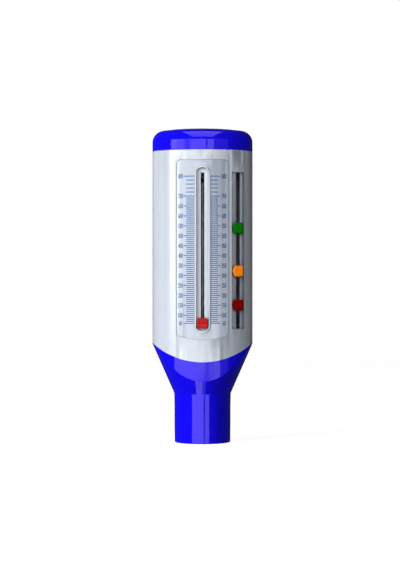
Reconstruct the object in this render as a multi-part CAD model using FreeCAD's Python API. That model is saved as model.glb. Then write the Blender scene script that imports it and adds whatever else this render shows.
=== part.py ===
import FreeCAD, Part
import math
import os

V = FreeCAD.Vector

# All sizes are in millimetres. Z = 0 is the rim of the mouthpiece, +Z runs up the long axis, and -Y is the
# front with the scale. The flow tube, the piston and the guide rod share the Z axis.

# Heights: the scale's zero and length set the track, and the track sets the plate, the casing and the cap
SCALE_ZERO_Z = 59.6
TRAVEL = 72.2
BELOW_ZERO = 4.0
ABOVE_SCALE = 4.4
ABOVE_TRACK = 3.8
ABOVE_PLATE = 5.0
CAP_RISE = 11.2
TUBE_SUNK = 3.0
TRACK_LOW = SCALE_ZERO_Z - BELOW_ZERO
TRACK_TOP = SCALE_ZERO_Z + TRAVEL + ABOVE_SCALE
PLATE_TOP = TRACK_TOP + ABOVE_TRACK
CASE_TOP = PLATE_TOP + ABOVE_PLATE
CAP_TOP = CASE_TOP + CAP_RISE
TUBE_TOP = CASE_TOP - TUBE_SUNK

# Oval casing
BODY_W = 50.0
BODY_D = 34.0
SIDE_R = 12.0
WALL = 2.0
SPIGOT_T = 1.4
SPIGOT_CLEAR = 0.05
SCALLOP_R = 38.5
SCALLOP_Z = 79.0
SEAM_BEVEL = 0.2
SEAM_GAP = 0.03

# Top cap
CAP_CROWN_RISE = 0.85
CAP_EDGE_R = 5.8
CAP_EDGE_STEPS = 4
CAP_WALL = 2.0
CAP_SPIGOT_H = 6.5
CAP_RIB_T = 1.6
CAP_RIB_H = 4.0

# Flow tube, as wide as the casing's depth lets it be behind the track
TRACK_BACK = 2.8
TUBE_GAP = 0.2
TUBE_R = BODY_D / 2 - TRACK_BACK - TUBE_GAP
TUBE_T = 1.0
SEAT_CLEAR = 0.05
TUBE_SLOT_W = 2.2
TUBE_SLOT_MARGIN = 0.4
OUTLET_W_LOW = 1.6
OUTLET_W_HIGH = 6.0
OUTLET_Z = 51.5
OUTLET_END = 5.0
OUTLET_TOP = TUBE_TOP - OUTLET_END

# Mouthpiece and funnel. The seat is as wide as the flow tube, which makes it fit a 28 mm card mouthpiece.
MOUTH_R_SEAT = TUBE_R
MOUTH_LEAD = 0.12
MOUTH_FLARE = 0.15
MOUTH_R_RIM = MOUTH_R_SEAT - MOUTH_LEAD
MOUTH_R_TOP = MOUTH_R_SEAT + MOUTH_FLARE
MOUTH_WALL = 1.45
MOUTH_BORE_R = MOUTH_R_SEAT - MOUTH_WALL
MOUTH_SEAT_Z = 9.0
MOUTH_SEAT_H = 9.0
MOUTH_H = 24.5
RIM_BEVEL = 0.4
CONE_TOP_Z = 49.2
CONE_WALL = 2.2
SOCKET_Z = 34.0
SOCKET_T = 1.3
FUNNEL_SPIGOT_TOP = 52.5
CONE_SPARE = 5.0

# Snap lugs that hold the cap and the funnel in the casing
LUG_W = 6.0
LUG_H = 1.6
LUG_PROUD = 0.5
LUG_ROOT = 0.8
LUG_CLEAR = 0.1
LUG_FUNNEL_Z = 50.6
LUG_CAP_DROP = 4.5
LUG_CAP_Z = CASE_TOP - LUG_CAP_DROP

# Key that lines up the flow tube and the spider with the pointer slot
KEY_W = 2.0
KEY_DEEP = 0.7
KEY_H = 10.0
KEY_CLEAR = 0.1

# Guide rod and what holds it
ROD_R = 1.0
ROD_BEVEL = 0.2
PRESS_CLEAR = 0.01
RUN_CLEAR = 0.05
SPIDER_H = 3.0
SPIDER_RING_T = 1.1
SPOKE_W = 1.2
SPOKE_H = 2.0
HUB_R = 3.2
HUB_FLOOR = 1.0
HUB_NOSE = 0.5
TOWER_R = 1.9
WASHER_T = 0.85
COLLAR_H = 1.4
COLLAR_R = 3.0
TOP_PLATE_T = 1.2
TOP_HUB_R = 3.0
ROD_OVERLAP = 0.15
VENT_R = 2.4
VENT_PITCH_R = 8.0
VENT_COUNT = 3
BUFFER_H = 2.0

# Piston and spring. At rest the piston's top is just under the slider of the pointer.
PISTON_CLEAR = 0.08
PISTON_SKIRT_T = 0.8
PISTON_FLOOR_T = 1.0
PISTON_H = 8.0
PISTON_REST_GAP = 0.1
PISTON_HUB_R = 2.6
PISTON_HUB_H = 7.2
PISTON_TAIL_R = 2.2
PISTON_TAIL_H = 2.5
PISTON_RIB_T = 0.8
PISTON_RIB_H = 3.0
BUSH_R = 1.6
SPRING_R = 2.55
SPRING_WIRE_R = 0.18
SPRING_TURNS = 7
SPRING_WIRE_SIDES = 4
SPRING_END_CLEAR = 0.03

# Rail of the zone markers, cut straight back from the front
RAIL_INSET = 7.53
RAIL_X = BODY_W / 2 - RAIL_INSET
RAIL_W = 5.95
RAIL_DEEP = 1.5
RAIL_BACK = 2.7
RAIL_EDGE = 1.0
RAIL_ABOVE_LOW = 1.1
RAIL_BELOW_TOP = 2.1
RAIL_LOW = TRACK_LOW + RAIL_ABOVE_LOW
RAIL_TOP = TRACK_TOP - RAIL_BELOW_TOP
RAIL_SLOT_W = 1.9

# Zone markers, the clips behind them, and the height at which each marker stands
MARKER_SHIFT = 0.25
MARKER_W = 5.3
MARKER_H = 5.3
MARKER_NOSE = 1.0
MARKER_TURN = 12.0
MARKER_PROUD = 0.6
MARKER_BEVEL = 0.5
MARKER_NECK_W = 1.7
MARKER_NECK_H = 3.6
CLIP_W = 4.6
CLIP_H = 4.4
CLIP_T = 1.1
CLIP_CLEAR = 0.05
MARKERS = {"green": 106.4, "amber": 85.2, "red": 68.5}

# Scale plate and pointer track
PLATE_TO_RAIL = 1.6
PLATE_HALF_W = RAIL_X - RAIL_W / 2 - PLATE_TO_RAIL
PLATE_CORNER_R = 1.9
PLATE_CORNER_Z = 53.6
PLATE_SAG = 2.1
PLATE_SUNK = 0.3
PLATE_T = 0.8
PLATE_CLEAR = 0.05
PLATE_BACK_CLEAR = 0.02
TRACK_HALF_W = 3.05
TRACK_RIM = 0.75
TRACK_FLOOR = 1.8
TRACK_SLOT_W = 1.7
SLOT_BELOW = 1.7
SLOT_ABOVE = 1.8
TRACK_SLOT_LOW = SCALE_ZERO_Z - SLOT_BELOW
TRACK_SLOT_TOP = SCALE_ZERO_Z + TRAVEL + SLOT_ABOVE

# Pointer
POINTER_W = 5.3
POINTER_H = 5.0
POINTER_CORNER_R = 1.0
POINTER_PROUD = 0.25
POINTER_BEVEL = 0.3
POINTER_LINE_H = 0.4
POINTER_LINE_DEEP = 0.3
NECK_W = 1.3
NECK_H = 2.4
NECK_ROOT = 0.5
SLIDER_W = 3.0
SLIDER_H = 3.0
SLIDER_T = 1.2
SLIDER_CLEAR = 0.15
NECK_TIP = 0.25
GLIDE_CLEAR = 0.05

# Outlet vents in the back of the casing
BACK_VENT_W = 15.0
BACK_VENT_H = 2.4
BACK_VENT_PITCH = 8.0
BACK_VENT_LOW = 62.0
BACK_VENTS = 9

# Sizes that follow from the ones above
SIDE_CX = BODY_W / 2 - SIDE_R
HALF_D = BODY_D / 2
FRONT_R = (SIDE_CX ** 2 + HALF_D ** 2 - SIDE_R ** 2) / (2 * (HALF_D - SIDE_R))
FRONT_CY = FRONT_R - HALF_D
ARC_ANGLE = math.atan2(SIDE_CX, FRONT_CY)
BORE_R = TUBE_R - TUBE_T
TUBE_LOW = SOCKET_Z + SPIDER_H
PISTON_R = BORE_R - PISTON_CLEAR
SOCKET_R = TUBE_R + SEAT_CLEAR
SPIGOT_OUT = WALL + SPIGOT_CLEAR
SPIGOT_IN = SPIGOT_OUT + SPIGOT_T
CONE_SLOPE = (BODY_W / 2 - MOUTH_R_TOP) / (CONE_TOP_Z - MOUTH_H)
PISTON_TOP = SCALE_ZERO_Z - SLIDER_H / 2 - PISTON_REST_GAP
PISTON_FLOOR_Z = PISTON_TOP - PISTON_H
PISTON_HUB_TOP = PISTON_FLOOR_Z + PISTON_HUB_H
PISTON_TAIL_LOW = PISTON_FLOOR_Z - PISTON_TAIL_H
TOWER_TOP = PISTON_TAIL_LOW - RUN_CLEAR - WASHER_T
BUFFER_LOW = PISTON_HUB_TOP + TRAVEL + 2 * RUN_CLEAR
TOP_HUB_LOW = BUFFER_LOW + BUFFER_H
COLLAR_TOP = TUBE_LOW + COLLAR_H
RAIL_ANGLE = math.degrees(math.asin(RAIL_X / (FRONT_R - RAIL_BACK)))


def cyl(radius, low, high, bore=0.0):
    """A round bar on the Z axis, with a bore if one is given."""
    solid = Part.makeCylinder(radius, high - low, V(0, 0, low))
    if bore:
        solid = solid.cut(Part.makeCylinder(bore, high - low + 2, V(0, 0, low - 1)))
    return solid


def box(x0, x1, y0, y1, z0, z1):
    """A block between two corners."""
    return Part.makeBox(x1 - x0, y1 - y0, z1 - z0, V(x0, y0, z0))


def bar(half_w, y0, y1, z0, z1):
    """A block centred on X = 0."""
    return box(-half_w, half_w, y0, y1, z0, z1)


def arc_point(cx, cy, radius, angle):
    """The point on a circle in plan, with the angle counted from +X."""
    return V(cx + radius * math.cos(angle), cy + radius * math.sin(angle), 0)


def oval_arcs():
    """The oval's four arcs as centre, radius, start and end: two tight ones at the sides, two wide ones."""
    edge = math.pi / 2 - ARC_ANGLE
    return [
        (SIDE_CX, 0, SIDE_R, -edge, edge),
        (0, -FRONT_CY, FRONT_R, edge, math.pi - edge),
        (-SIDE_CX, 0, SIDE_R, math.pi - edge, math.pi + edge),
        (0, FRONT_CY, FRONT_R, math.pi + edge, 2 * math.pi - edge),
    ]


def oval(inset, low, high):
    """The casing's oval, drawn in by the inset."""
    edges = []
    for cx, cy, radius, start, end in oval_arcs():
        points = [arc_point(cx, cy, radius - inset, a) for a in (start, (start + end) / 2, end)]
        edges.append(Part.Arc(*points).toShape())
    solid = Part.Face(Part.Wire(edges)).extrude(V(0, 0, high - low))
    solid.translate(V(0, 0, low))
    return solid


def front_prism(edges, y0, y1):
    """A closed outline in the X-Z plane, run from y0 to y1."""
    solid = Part.Face(Part.Wire(edges)).extrude(V(0, y1 - y0, 0))
    solid.translate(V(0, y0, 0))
    return solid


def stadium(half_w, low, high, y0, y1):
    """An upright slot with round ends, seen from the front."""
    left, right = -half_w, half_w
    a, b = low + half_w, high - half_w
    return front_prism([
        Part.LineSegment(V(left, 0, a), V(left, 0, b)).toShape(),
        Part.Arc(V(left, 0, b), V(0, 0, high), V(right, 0, b)).toShape(),
        Part.LineSegment(V(right, 0, b), V(right, 0, a)).toShape(),
        Part.Arc(V(right, 0, a), V(0, 0, low), V(left, 0, a)).toShape(),
    ], y0, y1)


def polygon(points, y0, y1):
    """A straight-sided outline in the X-Z plane, run from y0 to y1."""
    return front_prism(Part.makePolygon([V(x, 0, z) for x, z in points + points[:1]]).Edges, y0, y1)


def plate_outline(grow, y0, y1):
    """The scale plate seen from the front: square shoulders, round corners and a sagging lower edge."""
    w, top, low = PLATE_HALF_W + grow, PLATE_TOP + grow, PLATE_CORNER_Z - grow
    solid = front_prism([
        Part.LineSegment(V(-w, 0, low), V(-w, 0, top)).toShape(),
        Part.LineSegment(V(-w, 0, top), V(w, 0, top)).toShape(),
        Part.LineSegment(V(w, 0, top), V(w, 0, low)).toShape(),
        Part.Arc(V(w, 0, low), V(0, 0, low - PLATE_SAG), V(-w, 0, low)).toShape(),
    ], y0, y1)
    corners = [e for e in solid.Edges if abs(e.Vertexes[0].Z - e.Vertexes[-1].Z) < 1e-6
               and abs(abs(e.Vertexes[0].X) - w) < 1e-6 and abs(e.Vertexes[-1].X - e.Vertexes[0].X) < 1e-6]
    return solid.makeFillet(PLATE_CORNER_R + grow, corners)


def below_scallop(gap):
    """Everything below the curved lower edge of the casing, or of the funnel where a gap is given."""
    deep = BODY_D
    block = box(-BODY_W, BODY_W, -deep, deep, 0, SCALLOP_Z)
    disc = Part.makeCylinder(SCALLOP_R + gap, 2 * deep, V(0, -deep, SCALLOP_Z), V(0, 1, 0))
    return block.cut(disc)


def lugs(z, grow):
    """The pair of snap lugs, or the pockets for them when grown."""
    x = BODY_W / 2 - SPIGOT_OUT
    pair = []
    for side in (-1, 1):
        x0, x1 = sorted((side * (x - LUG_ROOT), side * (x + LUG_PROUD + grow)))
        pair.append(box(x0, x1, -LUG_W / 2 - grow, LUG_W / 2 + grow, z - grow, z + LUG_H + grow))
    return pair[0].fuse(pair[1])


def rail_bar(half_w, low, high):
    """A block that runs straight back from the front at the rail's place."""
    return box(RAIL_X - half_w, RAIL_X + half_w, -BODY_D, 0, low, high)


def front_y(x, inset):
    """Where the front arc, drawn in by the inset, lies at a place across."""
    return FRONT_CY - math.sqrt((FRONT_R - inset) ** 2 - x ** 2)


def main_casing():
    """The oval tube, with the scale pocket, the pointer track, the zone rail and the outlet vents."""
    low = SCALLOP_Z - SCALLOP_R - 1
    body = oval(0, low, CASE_TOP)
    body = body.makeChamfer(SEAM_BEVEL, [e for e in body.Edges if e.BoundBox.ZMin > CASE_TOP - 0.01])
    body = body.cut(oval(WALL, low - 1, CASE_TOP + 1)).cut(below_scallop(0))
    rim = TRACK_HALF_W + TRACK_RIM
    tray = stadium(rim, TRACK_LOW - TRACK_RIM, TRACK_TOP + TRACK_RIM, -HALF_D - 1, -HALF_D + TRACK_BACK)
    bed = rail_bar(RAIL_W / 2 + RAIL_EDGE, RAIL_LOW - RAIL_EDGE, RAIL_TOP + RAIL_EDGE)
    bed = bed.cut(oval(RAIL_BACK, low, CASE_TOP))
    body = body.fuse(tray.fuse(bed).common(oval(0, low, CASE_TOP - 1)))
    pocket = plate_outline(PLATE_CLEAR, -BODY_D, 0).cut(tray)
    body = body.cut(pocket.cut(oval(PLATE_SUNK + PLATE_T, low, CASE_TOP)))
    body = body.cut(stadium(TRACK_HALF_W, TRACK_LOW, TRACK_TOP, -BODY_D, -HALF_D + TRACK_FLOOR))
    body = body.cut(bar(TRACK_SLOT_W / 2, -BODY_D, 0, TRACK_SLOT_LOW, TRACK_SLOT_TOP))
    body = body.cut(rail_bar(RAIL_W / 2, RAIL_LOW, RAIL_TOP).cut(oval(RAIL_DEEP, low, CASE_TOP)))
    body = body.cut(rail_bar(RAIL_SLOT_W / 2, RAIL_LOW, RAIL_TOP))
    for n in range(BACK_VENTS):
        z = BACK_VENT_LOW + n * BACK_VENT_PITCH
        body = body.cut(bar(BACK_VENT_W / 2, 0, BODY_D, z, z + BACK_VENT_H))
    body = body.cut(lugs(LUG_FUNNEL_Z, LUG_CLEAR)).cut(lugs(LUG_CAP_Z, LUG_CLEAR))
    return body


def dome_profile(radius):
    """Half the dome's section beside an arc of that radius: wall, edge rounded in steps, slope, flat middle."""
    tilt = math.atan2(CAP_CROWN_RISE, SIDE_R - CAP_EDGE_R)
    centre_z = CAP_TOP - CAP_CROWN_RISE - CAP_EDGE_R / math.cos(tilt)
    centre = radius - CAP_EDGE_R
    points = []
    for n in range(CAP_EDGE_STEPS + 1):
        angle = (math.pi / 2 - tilt) * n / CAP_EDGE_STEPS
        points.append(V(centre + CAP_EDGE_R * math.cos(angle), 0, centre_z + CAP_EDGE_R * math.sin(angle)))
    if radius > SIDE_R:
        points.append(V(radius - SIDE_R, 0, CAP_TOP))
    points += [V(0, 0, CAP_TOP), V(0, 0, CASE_TOP), V(radius, 0, CASE_TOP)]
    return Part.Face(Part.makePolygon(points + points[:1]))


def dome():
    """The cap's outer shape: one turned piece for each arc of the oval."""
    whole = None
    for cx, cy, radius, start, end in oval_arcs():
        turned = dome_profile(radius).revolve(V(0, 0, 0), V(0, 0, 1), math.degrees(end - start))
        turned.rotate(V(0, 0, 0), V(0, 0, 1), math.degrees(start))
        turned.translate(V(cx, cy, 0))
        if cy:
            y0, y1 = (-BODY_D, 0) if cy > 0 else (0, BODY_D)
            turned = turned.common(box(-BODY_W, BODY_W, y0, y1, 0, CAP_TOP + 1))
        whole = turned if whole is None else whole.fuse(turned)
    return whole.removeSplitter()


def top_cap():
    """The domed cap, its hollow, the spigot that enters the casing and two ribs that hold the top plate."""
    shell = dome()
    hollow = oval(SPIGOT_IN, CASE_TOP - CAP_SPIGOT_H - 1, CAP_TOP - CAP_WALL - CAP_EDGE_R / 2)
    spigot = oval(SPIGOT_OUT, CASE_TOP - CAP_SPIGOT_H, CASE_TOP + 1)
    cap = shell.fuse(spigot).fuse(lugs(LUG_CAP_Z, 0)).cut(hollow)
    low = TUBE_TOP + TOP_PLATE_T + SEAT_CLEAR
    high, half = CASE_TOP + CAP_RIB_H, CAP_RIB_T / 2
    ribs = bar(BODY_W, -half, half, low, high).fuse(bar(half, -BODY_D, BODY_D, low, high))
    cap = cap.fuse(ribs.common(oval((SPIGOT_OUT + SPIGOT_IN) / 2, low, high)))
    return cap.cut(cyl(SOCKET_R, CASE_TOP - CAP_SPIGOT_H - 1, low))


def cone(inset, top):
    """The funnel's outer cone, drawn in by the inset and run up to the given height."""
    rise = top - MOUTH_H
    return Part.makeCone(MOUTH_R_TOP - inset, MOUTH_R_TOP - inset + CONE_SLOPE * rise, rise, V(0, 0, MOUTH_H))


def mouthpiece_funnel():
    """The mouthpiece tube, the cone that opens to the oval, the spigot and the socket for the flow tube."""
    seat_top = MOUTH_SEAT_Z + MOUTH_SEAT_H
    tube = Part.makeCone(MOUTH_R_RIM, MOUTH_R_SEAT, MOUTH_SEAT_Z)
    rim = [e for e in tube.Edges if e.BoundBox.ZMax < 0.1 and len(e.Vertexes) == 1]
    tube = tube.makeChamfer(RIM_BEVEL, rim)
    tube = tube.fuse(cyl(MOUTH_R_SEAT, MOUTH_SEAT_Z, seat_top))
    tube = tube.fuse(Part.makeCone(MOUTH_R_SEAT, MOUTH_R_TOP, MOUTH_H - seat_top, V(0, 0, seat_top)))
    top = FUNNEL_SPIGOT_TOP + CONE_SPARE
    shell = cone(0, top).common(oval(0, MOUTH_H, top)).common(below_scallop(SEAM_GAP))
    spigot = cone(0, top).common(oval(SPIGOT_OUT, SOCKET_Z, FUNNEL_SPIGOT_TOP))
    hollow = cone(CONE_WALL, top).common(oval(SPIGOT_IN, MOUTH_H, top))
    hollow = hollow.cut(cyl(SOCKET_R + SOCKET_T, MOUTH_H - 1, top + 1))
    body = tube.fuse(shell).fuse(spigot).fuse(lugs(LUG_FUNNEL_Z, 0)).cut(hollow)
    body = body.cut(cyl(MOUTH_BORE_R, -1, SOCKET_Z + 1)).cut(cyl(SOCKET_R, SOCKET_Z, top))
    half = KEY_W / 2
    key = box(SOCKET_R - KEY_DEEP, SOCKET_R + SOCKET_T / 2, -half, half, SOCKET_Z, SOCKET_Z + KEY_H)
    return body.fuse(key).removeSplitter()


def keyway(low, high):
    """The groove that clears the key."""
    half = KEY_W / 2 + KEY_CLEAR
    return box(SOCKET_R - KEY_DEEP - KEY_CLEAR, SOCKET_R + 1, -half, half, low, high)


def scale_plate():
    """The curved plate that carries the scale, with an opening for the track."""
    back = oval(PLATE_SUNK + PLATE_T - PLATE_BACK_CLEAR, TUBE_LOW - 1, CASE_TOP + 1)
    sheet = oval(PLATE_SUNK, TUBE_LOW, CASE_TOP).cut(back).common(plate_outline(0, -BODY_D, 0))
    rim = TRACK_HALF_W + TRACK_RIM + PLATE_CLEAR
    grow = TRACK_RIM + PLATE_CLEAR
    return sheet.cut(stadium(rim, TRACK_LOW - grow, TRACK_TOP + grow, -BODY_D, 0))


def flow_tube():
    """The round tube that the piston runs in: pointer slot in front, widening outlet slot behind."""
    tube = cyl(TUBE_R, TUBE_LOW, TUBE_TOP, BORE_R)
    slot_low, slot_top = TRACK_SLOT_LOW - TUBE_SLOT_MARGIN, TRACK_SLOT_TOP + TUBE_SLOT_MARGIN
    tube = tube.cut(bar(TUBE_SLOT_W / 2, -TUBE_R - 1, 0, slot_low, slot_top))
    low, high = OUTLET_W_LOW / 2, OUTLET_W_HIGH / 2
    outlet = [(-low, OUTLET_Z), (low, OUTLET_Z), (high, OUTLET_TOP), (-high, OUTLET_TOP)]
    tube = tube.cut(polygon(outlet, 0, TUBE_R + 1))
    return tube.cut(keyway(TUBE_LOW - 1, SOCKET_Z + KEY_H + KEY_CLEAR))


def rod_spider():
    """The ring, four spokes and hub that hold the rod, with the tower that the piston rests on."""
    top = SOCKET_Z + SPIDER_H
    ring = cyl(TUBE_R, SOCKET_Z, top, TUBE_R - SPIDER_RING_T)
    spoke_low = SOCKET_Z + (SPIDER_H - SPOKE_H) / 2
    reach = TUBE_R - SPIDER_RING_T / 2
    spokes = bar(reach, -SPOKE_W / 2, SPOKE_W / 2, spoke_low, spoke_low + SPOKE_H)
    spokes = spokes.fuse(bar(SPOKE_W / 2, -reach, reach, spoke_low, spoke_low + SPOKE_H))
    nose = Part.makeCone(HUB_R - HUB_NOSE, HUB_R, HUB_NOSE, V(0, 0, SOCKET_Z))
    hub = nose.fuse(cyl(HUB_R, SOCKET_Z + HUB_NOSE, top)).fuse(cyl(TOWER_R, top - 1, TOWER_TOP))
    body = ring.fuse(spokes).fuse(hub).removeSplitter()
    body = body.cut(cyl(ROD_R + PRESS_CLEAR, SOCKET_Z + HUB_FLOOR, TOWER_TOP + 1))
    return body.cut(keyway(SOCKET_Z - 1, top + 1))


def rod_top_plate():
    """The vented disc that closes the flow tube, with the hub for the rod's upper end."""
    top = TUBE_TOP + TOP_PLATE_T
    disc = cyl(TUBE_R, TUBE_TOP, top).fuse(cyl(TOP_HUB_R, TOP_HUB_LOW, TUBE_TOP))
    for n in range(VENT_COUNT):
        angle = math.radians(90 + n * 360 / VENT_COUNT)
        hole = cyl(VENT_R, TUBE_TOP - 1, top + 1)
        hole.translate(V(VENT_PITCH_R * math.cos(angle), VENT_PITCH_R * math.sin(angle), 0))
        disc = disc.cut(hole)
    rod_hole = cyl(ROD_R + PRESS_CLEAR, TOP_HUB_LOW - 1, TUBE_TOP + ROD_OVERLAP + RUN_CLEAR)
    return disc.removeSplitter().cut(rod_hole)


def guide_rod():
    """The polished rod, with a small chamfer at each end."""
    rod = cyl(ROD_R, SOCKET_Z + HUB_FLOOR, TUBE_TOP + ROD_OVERLAP)
    return rod.makeChamfer(ROD_BEVEL, [e for e in rod.Edges if len(e.Vertexes) == 1])


def return_spring():
    """The light coil that draws the piston back, from the collar to the piston's floor."""
    low = COLLAR_TOP + SPRING_WIRE_R + SPRING_END_CLEAR
    high = PISTON_FLOOR_Z - SPRING_WIRE_R - SPRING_END_CLEAR
    path = Part.makeHelix((high - low) / SPRING_TURNS, high - low, SPRING_R)
    section = []
    for n in range(SPRING_WIRE_SIDES + 1):
        angle = 2 * math.pi * (n % SPRING_WIRE_SIDES) / SPRING_WIRE_SIDES
        section.append(V(SPRING_R + SPRING_WIRE_R * math.cos(angle), 0, SPRING_WIRE_R * math.sin(angle)))
    coil = Part.Wire(path.Edges).makePipeShell([Part.makePolygon(section)], True, True)
    coil.translate(V(0, 0, low))
    return coil


def piston():
    """The light cup: floor, skirt, hub, four ribs and the tail that the spring grips."""
    cup = cyl(PISTON_R, PISTON_FLOOR_Z, PISTON_TOP)
    cup = cup.cut(cyl(PISTON_R - PISTON_SKIRT_T, PISTON_FLOOR_Z + PISTON_FLOOR_T, PISTON_TOP + 1))
    cup = cup.fuse(cyl(PISTON_HUB_R, PISTON_FLOOR_Z, PISTON_HUB_TOP))
    cup = cup.fuse(cyl(PISTON_TAIL_R, PISTON_TAIL_LOW, PISTON_FLOOR_Z))
    low = PISTON_FLOOR_Z + PISTON_FLOOR_T / 2
    reach = PISTON_R - PISTON_SKIRT_T / 2
    half = PISTON_RIB_T / 2
    high = low + PISTON_RIB_H
    ribs = bar(reach, -half, half, low, high).fuse(bar(half, -reach, reach, low, high))
    return cup.fuse(ribs).removeSplitter().cut(cyl(BUSH_R + PRESS_CLEAR, 0, CASE_TOP))


def piston_bush():
    """The sleeve in the piston's hub that runs on the rod."""
    return cyl(BUSH_R, PISTON_TAIL_LOW, PISTON_HUB_TOP, ROD_R + RUN_CLEAR)


def spring_collar():
    """The ring on the spider's tower that holds the spring's lower end."""
    return cyl(COLLAR_R, TUBE_LOW, COLLAR_TOP, TOWER_R + PRESS_CLEAR)


def rest_washer():
    """The soft ring on the tower that the piston stands on at zero."""
    return cyl(TOWER_R, TOWER_TOP, TOWER_TOP + WASHER_T, ROD_R + PRESS_CLEAR)


def top_buffer():
    """The soft ring under the top plate's hub that stops the piston."""
    return cyl(TOP_HUB_R, BUFFER_LOW, TOP_HUB_LOW, ROD_R + PRESS_CLEAR)


def pointer():
    """The head with its middle line, and the neck that passes the slots."""
    front = -HALF_D - POINTER_PROUD
    back = -HALF_D + TRACK_FLOOR - GLIDE_CLEAR
    half_w, half_h = POINTER_W / 2, POINTER_H / 2
    head = bar(half_w, front, back, SCALE_ZERO_Z - half_h, SCALE_ZERO_Z + half_h)
    head = head.makeFillet(POINTER_CORNER_R, [e for e in head.Edges if e.BoundBox.YLength > 0.5])
    face = [e for e in head.Edges if e.BoundBox.YMax < front + 0.01]
    head = head.makeChamfer(POINTER_BEVEL, face)
    line = POINTER_LINE_H / 2
    groove = bar(half_w + 1, front - 1, front + POINTER_LINE_DEEP, SCALE_ZERO_Z - line, SCALE_ZERO_Z + line)
    tip = -BORE_R + SLIDER_CLEAR + SLIDER_T + NECK_TIP
    neck = bar(NECK_W / 2, back - NECK_ROOT, tip, SCALE_ZERO_Z - NECK_H / 2, SCALE_ZERO_Z + NECK_H / 2)
    return head.cut(groove).fuse(neck)


def pointer_slider():
    """The foot inside the flow tube, pressed on the neck of the pointer."""
    front = -BORE_R + SLIDER_CLEAR
    back, half = front + SLIDER_T, SLIDER_H / 2
    foot = bar(SLIDER_W / 2, front, back, SCALE_ZERO_Z - half, SCALE_ZERO_Z + half)
    hole_w, hole_h = NECK_W / 2 + PRESS_CLEAR, NECK_H / 2 + PRESS_CLEAR
    return foot.cut(bar(hole_w, front - 1, back + 1, SCALE_ZERO_Z - hole_h, SCALE_ZERO_Z + hole_h))


def marker(z):
    """A zone marker with its nose towards the scale, and the neck that passes the rail's slot."""
    half_w, half_h = MARKER_W / 2, MARKER_H / 2
    shoulder = -half_w + MARKER_NOSE
    low, high = z - half_h, z + half_h
    outline = [(-half_w, z), (shoulder, high), (half_w, high), (half_w, low), (shoulder, low)]
    head = polygon(outline, 0, HALF_D)
    head = head.makeChamfer(MARKER_BEVEL, [e for e in head.Edges if e.BoundBox.YMax < MARKER_BEVEL])
    head.rotate(V(-half_w, 0, 0), V(0, 0, 1), MARKER_TURN)
    left = RAIL_X + MARKER_SHIFT - half_w
    head.translate(V(left + half_w, front_y(left, 0) - MARKER_PROUD, 0))
    head = head.cut(oval(RAIL_DEEP - GLIDE_CLEAR, low - 1, high + 1))
    tip = front_y(RAIL_X + MARKER_NECK_W / 2, RAIL_BACK + CLIP_CLEAR + CLIP_T) + NECK_TIP
    neck = box(RAIL_X - MARKER_NECK_W / 2, RAIL_X + MARKER_NECK_W / 2, front_y(RAIL_X, 0), tip,
               z - MARKER_NECK_H / 2, z + MARKER_NECK_H / 2)
    return head.fuse(neck)


def marker_clip(z):
    """The clip behind the casing wall, curved like the wall and pressed on the marker's neck."""
    clip = bar(CLIP_W / 2, -HALF_D, -HALF_D + RAIL_BACK + CLIP_CLEAR + CLIP_T, z - CLIP_H / 2, z + CLIP_H / 2)
    clip.rotate(V(0, FRONT_CY, 0), V(0, 0, 1), RAIL_ANGLE)
    clip = clip.common(oval(RAIL_BACK + CLIP_CLEAR, z - CLIP_H, z + CLIP_H))
    hole_h = MARKER_NECK_H / 2 + PRESS_CLEAR
    return clip.cut(rail_bar(MARKER_NECK_W / 2 + PRESS_CLEAR, z - hole_h, z + hole_h))


def parts():
    """Every piece by its node name."""
    pieces = {
        "main_casing": main_casing(),
        "top_cap": top_cap(),
        "mouthpiece_funnel": mouthpiece_funnel(),
        "scale_plate": scale_plate(),
        "flow_tube": flow_tube(),
        "rod_spider": rod_spider(),
        "rod_top_plate": rod_top_plate(),
        "guide_rod": guide_rod(),
        "return_spring": return_spring(),
        "spring_collar": spring_collar(),
        "rest_washer": rest_washer(),
        "top_buffer": top_buffer(),
        "piston": piston(),
        "piston_bush": piston_bush(),
        "pointer": pointer(),
        "pointer_slider": pointer_slider(),
    }
    for colour, z in MARKERS.items():
        pieces[colour + "_marker"] = marker(z)
        pieces[colour + "_clip"] = marker_clip(z)
    return pieces


os.makedirs("parts", exist_ok=True)
for node, shape in parts().items():
    shape.exportStep("parts/" + node + ".step")
    print(node, shape.isValid(), len(shape.Solids), round(shape.Volume, 1))
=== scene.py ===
import logging
import math
from contextlib import contextmanager
from dataclasses import dataclass
from enum import Enum
from typing import Callable, Iterable, Iterator

import bpy
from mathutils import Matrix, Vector


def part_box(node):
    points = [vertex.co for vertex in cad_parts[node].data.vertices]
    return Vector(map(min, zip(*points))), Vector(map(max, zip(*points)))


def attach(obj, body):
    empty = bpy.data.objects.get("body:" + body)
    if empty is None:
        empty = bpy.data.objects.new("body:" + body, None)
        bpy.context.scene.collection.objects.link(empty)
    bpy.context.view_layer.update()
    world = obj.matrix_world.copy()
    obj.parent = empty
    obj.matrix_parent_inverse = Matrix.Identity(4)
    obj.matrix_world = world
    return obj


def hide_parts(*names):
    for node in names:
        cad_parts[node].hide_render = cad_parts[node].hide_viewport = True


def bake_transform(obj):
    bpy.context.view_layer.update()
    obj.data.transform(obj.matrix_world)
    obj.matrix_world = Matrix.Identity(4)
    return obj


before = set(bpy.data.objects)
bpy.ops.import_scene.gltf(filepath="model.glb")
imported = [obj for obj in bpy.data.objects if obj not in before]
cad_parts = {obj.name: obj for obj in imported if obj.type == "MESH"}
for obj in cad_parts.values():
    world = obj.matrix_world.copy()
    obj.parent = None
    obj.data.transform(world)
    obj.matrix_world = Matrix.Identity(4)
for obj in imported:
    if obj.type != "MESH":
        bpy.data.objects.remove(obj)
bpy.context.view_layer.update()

log = logging.getLogger("peak_flow_meter")

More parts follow.
